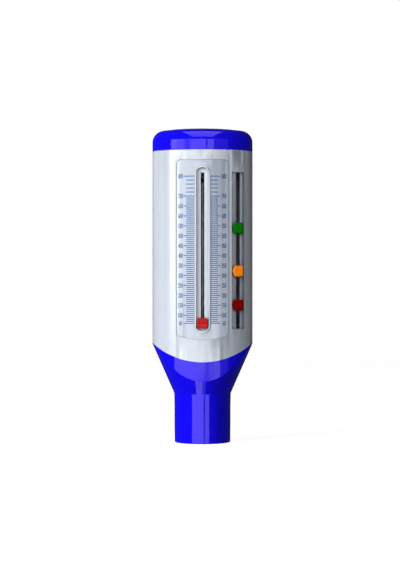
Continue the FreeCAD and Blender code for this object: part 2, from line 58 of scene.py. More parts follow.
MM = 0.001  # a millimetre in metres
WELD_MM = 0.001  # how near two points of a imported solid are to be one
FLAT_DEG = 0.5  # the angle below which its triangles are one face
Point = tuple[float, float, float]
Colour = tuple[float, float, float]
Socket = bpy.types.NodeSocket
WHITE: Colour = (1, 1, 1)


class Body(Enum):
    """The moving bodies of the meter, by their names in the frame."""

    HOUSING = "housing"
    PISTON = "piston_body"
    POINTER = "pointer_body"
    GREEN = "green_marker_body"
    AMBER = "amber_marker_body"
    RED = "red_marker_body"


class Cut(Enum):
    """How one solid works on another."""

    AWAY = "DIFFERENCE"
    WITHIN = "INTERSECT"
    TOGETHER = "UNION"


# Modelling by hand


class Workpiece:
    """One mesh under work. Every size and place it takes is in millimetres."""

    def __init__(self, name: str, obj: bpy.types.Object) -> None:
        """Takes over an object.

        Args:
            name: The piece's name in the scene.
            obj: The object that is worked on.
        """
        self.obj = obj
        self.obj.name = name
        self.obj.data.name = name

    @classmethod
    def from_point(cls, name: str, at: Point) -> "Workpiece":
        """Starts from a small plane drawn together to one point, ready to be extruded or spun.

        Args:
            name: The piece's name.
            at: The place of the point.

        Returns:
            The workpiece, with its point selected.
        """
        rest_tools()
        bpy.ops.mesh.primitive_plane_add(size=MM)
        work = cls(name, bpy.context.object)
        with work.editing():
            bpy.ops.mesh.select_all(action="SELECT")
            bpy.ops.mesh.merge(type="CENTER")
            bpy.ops.transform.translate(value=scaled(at))
        return work

    @classmethod
    def from_cylinder(cls, name: str, radius: float, low: Point, high: Point,
                      sides: int) -> "Workpiece":
        """Starts from a cylinder between two points of one axis.

        Args:
            name: The piece's name.
            radius: The cylinder's radius.
            low: The middle of one end.
            high: The middle of the other end.
            sides: How many sides stand for the round.

        Returns:
            The workpiece.
        """
        rest_tools()
        axis = Vector(high) - Vector(low)
        turn = Vector((0, 0, 1)).rotation_difference(axis).to_euler()
        middle = (Vector(high) + Vector(low)) / 2
        bpy.ops.mesh.primitive_cylinder_add(
            vertices=sides, radius=radius * MM, depth=axis.length * MM, location=middle * MM,
            rotation=turn)
        work = cls(name, bpy.context.object)
        work.settle()
        return work

    @classmethod
    def from_node(cls, name: str, node: str) -> "Workpiece":
        """Starts from a copy of one of the frame's solids, with its triangles joined to faces.

        Args:
            name: The piece's name.
            node: The solid's node.

        Returns:
            The workpiece.
        """
        activate(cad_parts[node])
        bpy.ops.object.duplicate(linked=False)
        work = cls(name, bpy.context.object)
        work.obj.parent = None
        for mark in list(work.obj.keys()):
            del work.obj[mark]
        with work.editing():
            bpy.ops.mesh.select_all(action="SELECT")
            bpy.ops.mesh.remove_doubles(threshold=WELD_MM * MM)
            bpy.ops.mesh.dissolve_limited(angle_limit=math.radians(FLAT_DEG))
            bpy.ops.mesh.select_all(action="DESELECT")
        return work

    @contextmanager
    def editing(self) -> Iterator[None]:
        """The edit mode of this piece, for a with statement."""
        activate(self.obj)
        bpy.ops.object.mode_set(mode="EDIT")
        try:
            yield
        finally:
            bpy.ops.object.mode_set(mode="OBJECT")

    def settle(self) -> None:
        """Puts the object's place, turn and scale into its mesh."""
        activate(self.obj)
        bpy.ops.object.transform_apply(location=True, rotation=True, scale=True)

    def draw(self, moves: Iterable[Point]) -> None:
        """Extrudes the selected point along a chain of moves.

        Args:
            moves: The steps from each point to the next.
        """
        with self.editing():
            for move in moves:
                bpy.ops.mesh.extrude_region_move(TRANSFORM_OT_translate={"value": scaled(move)})

    def spin(self, angle: float, centre: Point, axis: Point, steps: int) -> None:
        """Spins what is selected about an axis, anticlockwise as seen from the axis's tip.

        Args:
            angle: The angle in radians.
            centre: A point on the axis.
            axis: The axis's direction.
            steps: The number of steps.
        """
        back = tuple(-a for a in axis)
        with self.editing():
            bpy.ops.mesh.spin(steps=steps, angle=angle, center=scaled(centre), axis=back)

    def select(self, where: Callable[[Vector], bool] = lambda place: True) -> None:
        """Selects the points whose place, in millimetres, passes a test, or else all points.

        Args:
            where: The test.
        """
        with self.editing():
            bpy.ops.mesh.select_mode(type="VERT")
            bpy.ops.mesh.select_all(action="DESELECT")
        for vertex in self.obj.data.vertices:
            vertex.select = where(vertex.co / MM)

    def round_edges(self, where: Callable[[Vector], bool], width: float,
                    segments: int = 4) -> None:
        """Rounds the edges whose two ends, in millimetres, pass a test.

        Args:
            where: The test.
            width: How far the rounding reaches.
            segments: The steps in the rounding.
        """
        with self.editing():
            bpy.ops.mesh.select_mode(type="EDGE")
            bpy.ops.mesh.select_all(action="DESELECT")
        mesh = self.obj.data
        for edge in mesh.edges:
            edge.select = all(where(mesh.vertices[end].co / MM) for end in edge.vertices)
        with self.editing():
            bpy.ops.mesh.bevel(offset=width * MM, segments=segments, affect="EDGES")

    def fill(self, where: Callable[[Vector], bool]) -> None:
        """Closes the loop of points that pass a test with one face.

        Args:
            where: The test.
        """
        self.select(where)
        with self.editing():
            bpy.ops.mesh.edge_face_add()

    def tidy(self, distance: float = 0.0005) -> None:
        """Merges doubled points and turns every face outwards.

        Args:
            distance: How near two points are to be merged.
        """
        with self.editing():
            bpy.ops.mesh.select_all(action="SELECT")
            bpy.ops.mesh.remove_doubles(threshold=distance * MM)
            bpy.ops.mesh.normals_make_consistent(inside=False)
            bpy.ops.mesh.select_all(action="DESELECT")

    def combine(self, how: Cut, other: "Workpiece") -> None:
        """Cuts, joins or limits the piece by another solid, which is used up.

        Args:
            how: What is done.
            other: The solid that does it.
        """
        self.modify("BOOLEAN", operation=how.value, object=other.obj, solver="EXACT")
        bpy.data.objects.remove(other.obj)

    def modify(self, kind: str, **settings: object) -> None:
        """Adds a modifier and applies it.

        Args:
            kind: The modifier's kind.
            settings: Its settings by name.
        """
        activate(self.obj)
        modifier = self.obj.modifiers.new(kind.lower(), kind)
        for key, value in settings.items():
            setattr(modifier, key, value)
        bpy.ops.object.modifier_apply(modifier=modifier.name)

    def soften(self, width: float, angle: float = 50.0, segments: int = 2) -> None:
        """Rounds every edge that is sharper than an angle.

        Args:
            width: How far the rounding reaches.
            angle: The least angle in degrees.
            segments: The steps in the rounding.
        """
        self.modify("BEVEL", width=width * MM, segments=segments, limit_method="ANGLE",
                    angle_limit=math.radians(angle), miter_outer="MITER_ARC")

    def shade(self, angle: float) -> None:
        """Shades the piece smooth, with crisp edges past an angle.

        Args:
            angle: The angle in degrees.
        """
        activate(self.obj)
        bpy.ops.object.shade_smooth_by_angle(angle=math.radians(angle))

    def finish(self, material: bpy.types.Material, body: Body | None,
               slot: str) -> bpy.types.Object:
        """Gives the piece its finish and the body it rides on.

        Args:
            material: The finish.
            body: The body, or None to leave the piece on no body, as for the spring.
            slot: The record's slot that the finish stands for; not used.

        Returns:
            The object.
        """
        self.obj.data.materials.clear()
        self.obj.data.materials.append(material)
        if body:
            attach(self.obj, body.value)
        log.info("%s: %d faces", self.obj.name, len(self.obj.data.polygons))
        return self.obj


def rest_tools() -> None:
    """Deselects every object."""
    bpy.ops.object.select_all(action="DESELECT")


def activate(obj: bpy.types.Object) -> None:
    """Selects one object alone.

    Args:
        obj: The object.
    """
    rest_tools()
    obj.select_set(True)
    bpy.context.view_layer.objects.active = obj


def scaled(point: Iterable[float]) -> Point:
    """A place or move given in millimetres, in metres."""
    return tuple(value * MM for value in point)


def steps_between(points: list[Point]) -> list[Point]:
    """The moves that lead from each point to the next."""
    return [tuple(b - a for a, b in zip(one, two)) for one, two in zip(points, points[1:])]


# Finishes


class Recipe:
    """A node material under construction. Its patterns lie on the object's own coordinates."""

    MIX_INPUTS = (0, 6, 7)  # a Mix node's factor and its two colours
    MIX_RESULT = 2

    def __init__(self, name: str) -> None:
        """Starts from an empty Principled material.

        Args:
            name: The material's name.
        """
        self.material = bpy.data.materials.new(name)
        self.material.use_nodes = True
        self.tree = self.material.node_tree
        self.shader = self.tree.nodes["Principled BSDF"]
        self.coords = self.tree.nodes.new("ShaderNodeTexCoord").outputs["Object"]

    def node(self, kind: str, **inputs: object) -> bpy.types.Node:
        """A node with its inputs set or linked.

        Args:
            kind: The node's type.
            inputs: Values or sockets by input name, with spaces written as underscores.

        Returns:
            The node.
        """
        node = self.tree.nodes.new(kind)
        for key, value in inputs.items():
            self.feed(node.inputs[key.replace("_", " ")], value)
        return node

    def feed(self, socket: Socket, value: object) -> None:
        """Links a socket to another one, or sets its number or colour.

        Args:
            socket: The input.
            value: A socket, a number or a colour.
        """
        if isinstance(value, bpy.types.NodeSocket):
            self.tree.links.new(value, socket)
        elif isinstance(value, tuple) and socket.type == "RGBA":
            socket.default_value = (*value, 1)
        else:
            socket.default_value = value

    def noise(self, size: float, detail: float, stretch: Point = (1, 1, 1)) -> Socket:
        """Noise with features of a given size.

        Args:
            size: The size of a feature in millimetres.
            detail: How many finer layers it has.
            stretch: How dense the pattern is along each axis.

        Returns:
            The noise's value, about 0.5.
        """
        place = self.node("ShaderNodeMapping", Vector=self.coords, Scale=stretch)
        noise = self.node("ShaderNodeTexNoise", Vector=place.outputs[0], Scale=1 / (size * MM),
                          Detail=detail)
        return noise.outputs["Fac"]

    def spread(self, value: Socket, low: float, high: float, start: float = 0.3,
               end: float = 0.7) -> Socket:
        """Maps a pattern to a range.

        Args:
            value: The pattern.
            low: The result at the start.
            high: The result at the end.
            start: The pattern's lower bound.
            end: The pattern's upper bound.

        Returns:
            The mapped value.
        """
        node = self.node("ShaderNodeMapRange", Value=value, From_Min=start, From_Max=end,
                         To_Min=low, To_Max=high)
        return node.outputs["Result"]

    def openness(self, size: float, samples: int = 12) -> Socket:
        """How open a place is, for the painted shade that darkens corners and grooves.

        Args:
            size: How far the corners reach in millimetres.
            samples: How many rays feel for them.

        Returns:
            One on open faces and less in corners.
        """
        node = self.node("ShaderNodeAmbientOcclusion", Distance=size * MM)
        node.samples = samples
        return node.outputs["AO"]

    def mix(self, factor: Socket, first: object, second: object) -> Socket:
        """A colour between two.

        Args:
            factor: How much of the second.
            first: A colour or a socket.
            second: A colour or a socket.

        Returns:
            The mixed colour.
        """
        node = self.tree.nodes.new("ShaderNodeMix")
        node.data_type = "RGBA"
        for index, value in zip(self.MIX_INPUTS, (factor, first, second)):
            self.feed(node.inputs[index], value)
        return node.outputs[self.MIX_RESULT]

    def bump(self, height: Socket, depth: float, before: Socket | None = None) -> Socket:
        """A normal raised by a height pattern.

        Args:
            height: The pattern.
            depth: The pattern's depth in millimetres.
            before: A normal that this one adds to.

        Returns:
            The normal.
        """
        node = self.node("ShaderNodeBump", Height=height, Distance=depth * MM, Strength=1.0)
        if before:
            self.feed(node.inputs["Normal"], before)
        return node.outputs["Normal"]

    def done(self, **inputs: object) -> bpy.types.Material:
        """Sets the shader's inputs.

        Args:
            inputs: Values or sockets by input name, with spaces written as underscores.

        Returns:
            The finished material.
        """
        for key, value in inputs.items():
            self.feed(self.shader.inputs[key.replace("_", " ")], value)
        return self.material


@dataclass(frozen=True)
class Plastic:
    """Moulded plastic: a faint flow pattern, a varying gloss, a fine grain, long soft waves and,
    where set, painted shade in its corners and grooves.
    """

    name: str
    colour: Colour
    flow_colour: Colour
    gloss: tuple[float, float]
    flow: float = 9.0
    flow_stretch: Point = (1, 1, 0.35)
    speck: float = 1.4
    grain: float = 0.35
    grain_depth: float = 0.002
    wave: float = 14.0
    wave_depth: float = 0.01
    specular: float = 0.5
    sheen_tint: Colour = WHITE
    # Painted shade: how strongly corners and grooves are darkened, how far they reach, over which
    # openness, and to what share of the colour.
    crease: float = 0.0
    crease_size: float = 1.1
    crease_span: tuple[float, float] = (0.25, 0.95)
    crease_dark: float = 0.08

    def material(self) -> bpy.types.Material:
        """Builds the node material."""
        recipe = Recipe(self.name)
        flow = recipe.noise(self.flow, detail=5.0, stretch=self.flow_stretch)
        speck = recipe.noise(self.speck, detail=3.0)
        colour = recipe.mix(recipe.spread(flow, 0.0, 1.0), self.colour, self.flow_colour)
        # Painted shade: the colour is darkened wherever ambient occlusion finds corners, grooves
        # and recesses.
        if self.crease:
            openness = recipe.openness(self.crease_size)
            painted_shade_share = recipe.spread(openness, self.crease, 0.0, *self.crease_span)
            colour = recipe.mix(painted_shade_share, colour, tuple(self.crease_dark * c for c in self.colour))
        waves = recipe.bump(recipe.noise(self.wave, detail=1.0), self.wave_depth)
        grain = recipe.bump(recipe.noise(self.grain, detail=3.0), self.grain_depth, waves)
        return recipe.done(Base_Color=colour, Roughness=recipe.spread(speck, *self.gloss),
                           Normal=grain, Specular_IOR_Level=self.specular,
                           Specular_Tint=self.sheen_tint)


@dataclass(frozen=True)
class Steel:
    """Drawn and polished steel: fine lines along the rod and small changes in gloss."""

    name: str
    colour: Colour = (0.58, 0.59, 0.61)
    dull_colour: Colour = (0.44, 0.45, 0.47)
    line: float = 0.12
    line_stretch: Point = (1, 1, 0.02)
    line_depth: float = 0.001
    patch: float = 3.0
    gloss: tuple[float, float] = (0.16, 0.34)

    def material(self) -> bpy.types.Material:
        """Builds the node material."""
        recipe = Recipe(self.name)
        lines = recipe.noise(self.line, detail=2.0, stretch=self.line_stretch)
        patches = recipe.spread(recipe.noise(self.patch, detail=3.0), 0.0, 1.0)
        return recipe.done(Base_Color=recipe.mix(patches, self.colour, self.dull_colour),
                           Metallic=1.0, Roughness=recipe.spread(lines, *self.gloss),
                           Normal=recipe.bump(lines, self.line_depth))


@dataclass(frozen=True)
class Rubber:
    """Soft moulded rubber: dull, with a fine stipple and a little dust."""

    name: str
    colour: Colour = (0.02, 0.02, 0.022)
    dust_colour: Colour = (0.07, 0.07, 0.07)
    dust: float = 0.8
    dust_most: float = 0.6
    dust_span: tuple[float, float] = (0.45, 0.75)
    stipple: float = 0.12
    stipple_depth: float = 0.004
    gloss: tuple[float, float] = (0.7, 0.9)

    def material(self) -> bpy.types.Material:
        """Builds the node material."""
        recipe = Recipe(self.name)
        dust = recipe.noise(self.dust, detail=5.0)
        cover = recipe.spread(dust, 0.0, self.dust_most, *self.dust_span)
        stipple = recipe.noise(self.stipple, detail=2.0)
        return recipe.done(Base_Color=recipe.mix(cover, self.colour, self.dust_colour),
                           Roughness=recipe.spread(stipple, *self.gloss),
                           Normal=recipe.bump(stipple, self.stipple_depth))


@dataclass(frozen=True)
class Ink:
    """Screen-printed ink: a dense film of slightly uneven cover and roughness."""

    name: str
    colour: Colour
    thin_colour: Colour
    cover: float = 0.5
    film: float = 0.08
    film_depth: float = 0.0005
    gloss: tuple[float, float] = (0.3, 0.45)

    def material(self) -> bpy.types.Material:
        """Builds the node material."""
        recipe = Recipe(self.name)
        cover = recipe.spread(recipe.noise(self.cover, detail=4.0), 0.0, 1.0)
        film = recipe.noise(self.film, detail=2.0)
        return recipe.done(Base_Color=recipe.mix(cover, self.colour, self.thin_colour),
                           Roughness=recipe.spread(film, *self.gloss),
                           Normal=recipe.bump(film, self.film_depth))


class Finish(Enum):
    """Every finish on the meter."""

    # The shade settings on the casing, the scale sheet and the pointer paint shade into their
    # corners, grooves and outlines.
    CASING = Plastic("casing_white", (0.635, 0.70, 0.81), (0.62, 0.685, 0.795), (0.2, 0.26),
                     grain_depth=0.00025, wave_depth=0.002, specular=1.0,
                     crease=0.85, crease_size=1.5)
    BLUE = Plastic("shell_blue", (0.007, 0.003, 0.98), (0.006, 0.002, 0.93), (0.04, 0.07),
                   grain_depth=0.0001, wave_depth=0.001, sheen_tint=(1, 0.74, 1))
    SHEET = Plastic("scale_sheet", (0.57, 0.64, 0.77), (0.55, 0.62, 0.76), (0.06, 0.12),
                    grain_depth=0.0002, wave_depth=0.002, specular=0.8, crease=0.6)
    INNER = Plastic("inner_natural", (0.62, 0.63, 0.62), (0.55, 0.56, 0.54), (0.35, 0.5),
                    grain_depth=0.003)
    PISTON = Plastic("piston_white", (0.8, 0.8, 0.79), (0.74, 0.74, 0.72), (0.3, 0.45))
    BUSH = Plastic("bush_dark", (0.03, 0.03, 0.035), (0.045, 0.045, 0.05), (0.35, 0.5),
                   grain_depth=0.003)
    RED = Plastic("pointer_red", (0.6, 0.016, 0.02), (0.52, 0.012, 0.016), (0.2, 0.3),
                  grain_depth=0.0008, specular=0.1, crease=0.9, crease_size=0.7)
    GREEN = Plastic("marker_green", (0.0, 0.18, 0.0), (0.0, 0.15, 0.001), (0.25, 0.35),
                    grain_depth=0.0008, specular=0.03)
    AMBER = Plastic("marker_amber", (1.0, 0.28, 0.008), (0.94, 0.25, 0.006), (0.2, 0.3),
                    grain_depth=0.0008, specular=0.05)
    DARK_RED = Plastic("marker_dark_red", (0.22, 0.0, 0.0), (0.19, 0.0, 0.0), (0.2, 0.3),
                       grain_depth=0.0008, specular=0.02)
    STEEL = Steel("rod_steel")
    RUBBER = Rubber("stop_rubber")
    INK = Ink("scale_ink", (0.008, 0.13, 0.43), (0.015, 0.155, 0.47))

    def __init__(self, recipe: object) -> None:
        """Keeps the recipe, whose material is built once."""
        self.recipe = recipe
        self.built: bpy.types.Material | None = None

    def material(self) -> bpy.types.Material:
        """The finish's material, built at its first use."""
        if self.built is None:
            self.built = self.recipe.material()
        return self.built


# Shapes that several pieces share


@dataclass(frozen=True)
class Oval:
    """The meter's plan: tight arcs at the sides, wide ones in front and behind, in millimetres."""

    half_w: float
    half_d: float
    side_r: float = 12.0
    wide_steps: int = 72
    tight_steps: int = 84

    @property
    def side_x(self) -> float:
        """The centre of the right tight arc."""
        return self.half_w - self.side_r

    @property
    def wide_r(self) -> float:
        """The radius of the wide arcs."""
        rise = self.half_d - self.side_r
        return (self.side_x ** 2 + self.half_d ** 2 - self.side_r ** 2) / (2 * rise)

    @property
    def wide_y(self) -> float:
        """How far the wide arcs' centres lie behind the middle."""
        return self.wide_r - self.half_d

    @property
    def wide_angle(self) -> float:
        """Half the angle of a wide arc."""
        return math.atan2(self.side_x, self.wide_y)

    def sweep(self, work: Workpiece) -> None:
        """Takes the selected profile, drawn on +X, once round the oval and closes it.

        Args:
            work: The workpiece that holds the profile.
        """
        tight = math.pi / 2 - self.wide_angle
        half_steps = self.tight_steps // 2
        runs = [
            ((self.side_x, 0, 0), tight, half_steps),
            ((0, -self.wide_y, 0), 2 * self.wide_angle, self.wide_steps),
            ((-self.side_x, 0, 0), 2 * tight, self.tight_steps),
            ((0, self.wide_y, 0), 2 * self.wide_angle, self.wide_steps),
            ((self.side_x, 0, 0), tight, half_steps),
        ]
        for centre, angle, steps in runs:
            work.spin(angle, centre, (0, 0, 1), steps)
        work.tidy()

    def prism(self, name: str, inset: float, low: float, high: float) -> Workpiece:
        """A solid of the oval's outline.

        Args:
            name: The piece's name.
            inset: How far it is drawn in.
            low: Its lower end.
            high: Its upper end.

        Returns:
            The workpiece.
        """
        work = Workpiece.from_point(name, (self.half_w - inset, 0, low))
        self.sweep(work)
        work.select()
        with work.editing():
            bpy.ops.mesh.edge_face_add()
            bpy.ops.mesh.extrude_region_move(
                TRANSFORM_OT_translate={"value": scaled((0, 0, high - low))})
        work.tidy()
        return work


def arc(centre: tuple[float, float], radius: float, start: float, end: float,
        steps: int) -> list[Point]:
    """Points of an arc in the X-Z plane.

    Args:
        centre: The arc's centre as X and Z.
        radius: Its radius.
        start: The first angle from +X, in radians.
        end: The last angle.
        steps: The number of steps.

    Returns:
        The points.
    """
    angles = [start + (end - start) * n / steps for n in range(steps + 1)]
    return [(centre[0] + radius * math.cos(a), 0, centre[1] + radius * math.sin(a)) for a in angles]


def measured_oval() -> Oval:
    """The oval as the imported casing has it."""
    low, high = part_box("main_casing")
    return Oval(half_w=(high.x - low.x) / 2 / MM, half_d=(high.y - low.y) / 2 / MM)


# The meter's sub-assemblies


@dataclass
class TopCap:
    """The domed cap: a straight wall, a round edge, a gentle crown and a flat middle."""

    oval: Oval
    seam_z: float
    top_z: float
    edge_r: float = 5.8
    crown: float = 0.85
    seam_bevel: float = 0.2
    edge_steps: int = 20
    near: float = 0.01
    crisp_deg: float = 12.0

    def profile(self) -> list[Point]:
        """The section from the base's inner loop out, up and in to the top's."""
        half_w, side_r = self.oval.half_w, self.oval.side_r
        tilt = math.atan2(self.crown, side_r - self.edge_r)
        edge_z = self.top_z - self.crown - self.edge_r / math.cos(tilt)
        edge = arc((half_w - self.edge_r, edge_z), self.edge_r, 0, math.pi / 2 - tilt,
                   self.edge_steps)
        return [
            (self.oval.side_x, 0, self.seam_z),
            (half_w - self.seam_bevel, 0, self.seam_z),
            (half_w, 0, self.seam_z + self.seam_bevel),
            *edge,
            (self.oval.side_x, 0, self.top_z),
        ]

    def on_loop(self, place: Vector, z: float) -> bool:
        """Whether a point lies on the inner loop that the sweep leaves open at a height."""
        radius = self.oval.wide_r - self.oval.side_r
        return abs(place.z - z) < self.near and any(
            abs(math.hypot(place.x, place.y - side * self.oval.wide_y) - radius) < self.near
            and place.y * side < self.near for side in (-1, 1))

    def build(self) -> None:
        """Models the cap, which stands for its plainer solid."""
        points = self.profile()
        work = Workpiece.from_point("cap_shell", points[0])
        work.draw(steps_between(points))
        work.select()
        self.oval.sweep(work)
        for z in (self.seam_z, self.top_z):
            work.fill(lambda place: self.on_loop(place, z))
        work.tidy()
        work.shade(self.crisp_deg)
        cap = work.finish(Finish.BLUE.material(), Body.HOUSING, "blue_plastic")
        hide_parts("top_cap")


@dataclass
class Funnel:
    """The mouthpiece tube and the cone above it, cut by the oval and the casing's curved edge."""

    oval: Oval
    rim_r: float = 13.88
    seat_r: float = 14.0
    neck_r: float = 14.15
    seat_low: float = 9.0
    seat_top: float = 18.0
    neck_z: float = 24.5
    cone_top: float = 49.2
    bore_r: float = 12.55
    socket_r: float = 14.05
    socket_z: float = 34.0
    rim_round: float = 0.5
    rim_steps: int = 6
    inner_round: float = 0.3
    inner_steps: int = 5
    spigot_inset: float = 2.05
    spigot_top: float = 52.5
    spigot_back: float = 0.05
    scallop_r: float = 38.53
    scallop_z: float = 79.0
    scallop_sides: int = 720
    sides: int = 360
    above: float = 2.0
    below: float = 1.0
    weld: float = 0.002
    crisp_deg: float = 14.0

    def cone_r(self, z: float) -> float:
        """The cone's radius at a height."""
        slope = (self.oval.half_w - self.neck_r) / (self.cone_top - self.neck_z)
        return self.neck_r + slope * (z - self.neck_z)

    def turned(self, name: str, points: list[Point]) -> Workpiece:
        """A body turned from a closed section.

        Args:
            name: The piece's name.
            points: The section's points in the X-Z plane.

        Returns:
            The workpiece.
        """
        work = Workpiece.from_point(name, points[0])
        work.draw(steps_between(points + points[:1]))
        work.select()
        work.spin(2 * math.pi, (0, 0, 0), (0, 0, 1), self.sides)
        work.tidy()
        return work

    def section(self) -> list[Point]:
        """The section of the tube and cone, with both edges of the rim rounded."""
        top = self.spigot_top + 2 * self.above
        r, q = self.rim_round, self.inner_round
        outer = arc((self.rim_r - r, r), r, -math.pi / 2, 0, self.rim_steps)
        inner = arc((self.bore_r + q, q), q, math.pi, 1.5 * math.pi, self.inner_steps)
        return [*inner, *outer, (self.seat_r, 0, self.seat_low), (self.seat_r, 0, self.seat_top),
                (self.neck_r, 0, self.neck_z), (self.cone_r(top), 0, top), (self.bore_r, 0, top)]

    def spigot(self) -> Workpiece:
        """The part that enters the casing, above the curved edge."""
        low, top = self.socket_z, self.spigot_top + 2 * self.above
        ring = [(self.bore_r, 0, low), (self.cone_r(low) - self.spigot_back, 0, low),
                (self.cone_r(top) - self.spigot_back, 0, top), (self.bore_r, 0, top)]
        work = self.turned("funnel_spigot", ring)
        work.combine(Cut.WITHIN, self.oval.prism(
            "spigot_limit", self.spigot_inset, low - self.below, self.spigot_top))
        return work

    def build(self) -> None:
        """Models the funnel, which stands for its plainer solid."""
        deep = 2 * self.oval.half_d
        top = self.spigot_top + self.above
        work = self.turned("funnel_shell", self.section())
        work.combine(Cut.WITHIN, self.oval.prism("funnel_limit", 0, -self.below, top))
        work.combine(Cut.AWAY, Workpiece.from_cylinder(
            "scallop", self.scallop_r, (0, -deep, self.scallop_z), (0, deep, self.scallop_z),
            self.scallop_sides))
        work.combine(Cut.TOGETHER, self.spigot())
        work.combine(Cut.AWAY, Workpiece.from_cylinder(
            "socket", self.socket_r, (0, 0, self.socket_z), (0, 0, top), self.sides))
        work.tidy(self.weld)
        work.shade(self.crisp_deg)
        funnel = work.finish(Finish.BLUE.material(), Body.HOUSING, "blue_plastic")
        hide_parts("mouthpiece_funnel")


@dataclass
class Scale:
    """The print on the scale plate: on each side of the track, ticks and a column of numbers."""

    zero_z: float = 59.6
    zero_value: int = 60
    top_value: int = 800
    dense_top: int = 700
    first_round: int = 100
    number_step: int = 50
    dense_step: int = 10
    wide_step: int = 20
    mm_per_100: float = 9.757
    left_short: tuple[float, float] = (-7.95, -4.1)
    left_long: tuple[float, float] = (-9.3, -4.1)
    right_short: tuple[float, float] = (4.1, 7.5)
    right_long: tuple[float, float] = (4.1, 8.65)
    left_number: float = -10.75
    right_number: float = 10.55
    number_w: float = 2.3
    number_digits: int = 3
    number_h: float = 2.25
    number_bold: float = 0.014
    curve_steps: int = 4
    tick_h: float = 0.42
    tick_cuts: int = 5
    start_y: float = -20.0
    film: float = 0.03
    lift: float = 0.01

    def height(self, value: float) -> float:
        """The height of a reading on the scale."""
        return self.zero_z + (value - self.zero_value) * self.mm_per_100 / 100

    def numbered(self) -> list[int]:
        """The readings that carry a number."""
        between = range(self.first_round, self.dense_top + 1, self.number_step)
        return [self.zero_value, *between, self.top_value]

    def plain(self) -> list[int]:
        """The readings that carry a short tick alone."""
        dense = range(self.zero_value, self.dense_top, self.dense_step)
        wide = range(self.dense_top, self.top_value, self.wide_step)
        return [value for value in (*dense, *wide) if value not in self.numbered()]

    def ticks(self, name: str, span: tuple[float, float], values: list[int]) -> Workpiece:
        """A run of ticks: one is cut into short lengths and copied from reading to reading.

        Args:
            name: The piece's name.
            span: The ticks' left and right ends.
            values: The readings.

        Returns:
            The workpiece.
        """
        rest_tools()
        middle, width = sum(span) / 2, span[1] - span[0]
        place = scaled((middle, self.start_y, self.height(values[0])))
        bpy.ops.mesh.primitive_plane_add(size=1, location=place, rotation=(math.pi / 2, 0, 0))
        work = Workpiece(name, bpy.context.object)
        work.obj.scale = scaled((width, self.tick_h, 1))
        work.settle()
        with work.editing():
            bpy.ops.mesh.select_all(action="SELECT")
            bpy.ops.mesh.subdivide(number_cuts=self.tick_cuts)
            for below, above in zip(values, values[1:]):
                rise = self.height(above) - self.height(below)
                bpy.ops.mesh.duplicate_move(
                    TRANSFORM_OT_translate={"value": scaled((0, 0, rise))})
        return work

    def numbers(self, name: str, x: float) -> Workpiece:
        """A column of numbers, each set as text and drawn narrow to its height and width.

        Args:
            name: The piece's name.
            x: The column's middle.

        Returns:
            The workpiece.
        """
        made = []
        for value in self.numbered():
            rest_tools()
            bpy.ops.object.text_add()
            text = bpy.context.object
            text.data.body = str(value)
            text.data.resolution_u = self.curve_steps
            text.data.offset = self.number_bold
            bpy.ops.object.convert(target="MESH")
            work = Workpiece(f"{name}_{value}", bpy.context.object)
            corners = [v.co for v in work.obj.data.vertices]
            low = Vector((min(c.x for c in corners), min(c.y for c in corners), 0))
            high = Vector((max(c.x for c in corners), max(c.y for c in corners), 0))
            width = self.number_w * len(str(value)) / self.number_digits
            narrow, short = width * MM / (high.x - low.x), self.number_h * MM / (high.y - low.y)
            with work.editing():
                bpy.ops.mesh.select_all(action="SELECT")
                bpy.ops.transform.translate(value=-(low + high) / 2)
                bpy.ops.transform.resize(value=(narrow, short, 1), center_override=(0, 0, 0))
            work.obj.rotation_euler = (math.pi / 2, 0, 0)
            work.obj.location = scaled((x, self.start_y, self.height(value)))
            work.settle()
            made.append(work)
        activate(made[0].obj)
        for work in made[1:]:
            work.obj.select_set(True)
        bpy.ops.object.join()
        return Workpiece(name, bpy.context.object)

    def lay(self, work: Workpiece, plate: bpy.types.Object) -> None:
        """Lays flat print on the curved plate and gives it the film's thickness.

        Args:
            work: The print.
            plate: The plate.
        """
        work.modify("SHRINKWRAP", target=plate, wrap_method="PROJECT", use_project_x=False,
                    use_project_y=True, use_project_z=False, use_negative_direction=False,
                    use_positive_direction=True, offset=self.lift * MM,
                    wrap_mode="ABOVE_SURFACE")
        work.modify("SOLIDIFY", thickness=self.film * MM, offset=1)
        work.finish(Finish.INK.material(), Body.HOUSING, "scale_sheet")

    def build(self, plate: bpy.types.Object) -> None:
        """Prints the scale on the plate.

        Args:
            plate: The plate's object.
        """
        for side, short, long, x in (
                ("left", self.left_short, self.left_long, self.left_number),
                ("right", self.right_short, self.right_long, self.right_number)):
            self.lay(self.ticks(f"scale_short_ticks_{side}", short, self.plain()), plate)
            self.lay(self.ticks(f"scale_long_ticks_{side}", long, self.numbered()), plate)
            self.lay(self.numbers(f"scale_numbers_{side}", x), plate)


@dataclass
class Spring:
    """The return spring, wound of round wire between the collar and the piston."""

    radius: float = 2.55
    wire_r: float = 0.18
    wire_sides: int = 12
    turns: int = 12
    steps: int = 40
    crisp_deg: float = 40.0

    def build(self) -> None:
        """Winds the coil, which stands for its plainer solid and rides on no body."""
        low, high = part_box("return_spring")
        start, end = low.z / MM + self.wire_r, high.z / MM - self.wire_r
        rest_tools()
        bpy.ops.mesh.primitive_circle_add(
            vertices=self.wire_sides, radius=self.wire_r * MM, fill_type="NGON",
            location=scaled((self.radius, 0, start)), rotation=(math.pi / 2, 0, 0))
        work = Workpiece("spring_coil", bpy.context.object)
        work.settle()
        work.modify("SCREW", axis="Z", screw_offset=(end - start) / self.turns * MM,
                    iterations=self.turns, steps=self.steps, render_steps=self.steps,
                    use_merge_vertices=False)
        work.tidy()
        work.shade(self.crisp_deg)
        coil = work.finish(Finish.STEEL.material(), None, "steel")
        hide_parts("return_spring")
        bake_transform(coil)


